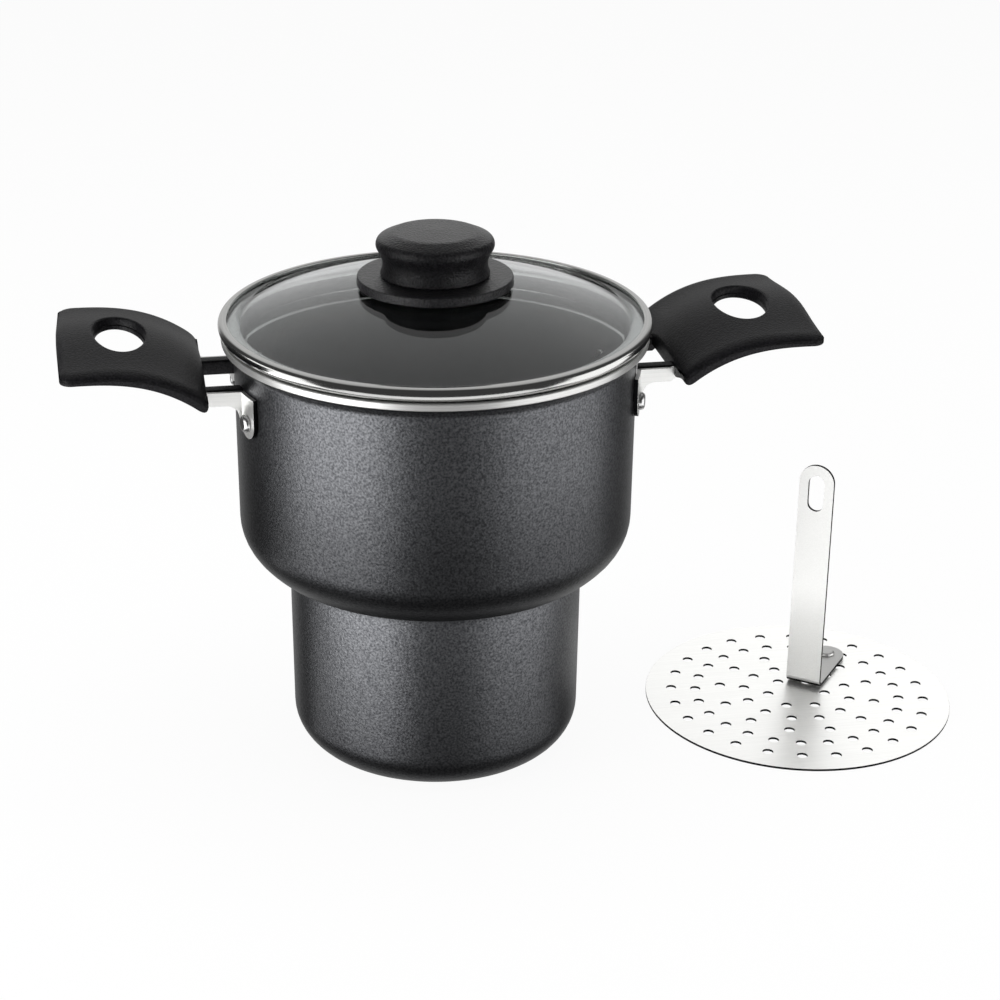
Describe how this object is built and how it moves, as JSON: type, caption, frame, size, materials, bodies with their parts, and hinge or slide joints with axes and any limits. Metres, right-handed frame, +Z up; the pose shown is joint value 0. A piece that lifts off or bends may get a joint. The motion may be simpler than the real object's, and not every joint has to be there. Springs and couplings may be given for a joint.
{
  "type": "couscous steamer",
  "caption": "Stepped non-stick couscous steamer pot with a domed glass lid, moulded side handles on riveted brackets, and a loose perforated plate with a lifting strip.",
  "frame": {"origin": "centre of the pot's flat base, on the surface it stands on", "axes": "+Z up along the pot's axis; the two side handles lie along X; -Y is the front, and the perforated plate stands at +X"},
  "size_m": [0.3688, 0.169, 0.2162],
  "materials": {
    "graphite_coating": "graphite non-stick coating with a fine grain over pressed aluminium",
    "lid_glass": "clear tempered glass",
    "polished_steel": "polished stainless steel",
    "satin_steel": "satin stainless steel sheet",
    "bakelite": "black bakelite with a fine moulded grain",
    "rivet_aluminium": "bare aluminium",
    "brass": "turned brass",
    "rubber": "black silicone rubber"
  },
  "bodies": {
    "pot": {"pot_body": "graphite_coating", "left_handle": "bakelite", "left_bracket": "satin_steel", "left_handle_screw": "polished_steel", "left_front_rivet": "rivet_aluminium", "left_back_rivet": "rivet_aluminium", "right_handle": "bakelite", "right_bracket": "satin_steel", "right_handle_screw": "polished_steel", "right_front_rivet": "rivet_aluminium", "right_back_rivet": "rivet_aluminium"},
    "lid": {"lid_glass": "lid_glass", "lid_band": "polished_steel", "knob_collar": "bakelite", "knob_grip": "bakelite", "knob_insert": "brass", "knob_gasket": "rubber", "knob_washer": "polished_steel", "knob_screw": "polished_steel"},
    "strainer": {"strainer_disc": "satin_steel", "strainer_strip": "satin_steel", "strainer_rivet": "satin_steel"}
  },
  "joints": [
    {"name": "lid_lift", "type": "slide", "parent": "pot", "child": "lid", "axis": [0, 0, 1], "range_m": [0, 0.08]},
    {"name": "strainer_lift", "type": "slide", "parent": "pot", "child": "strainer", "axis": [0, 0, 1], "range_m": [0, 0.12]}
  ]
}
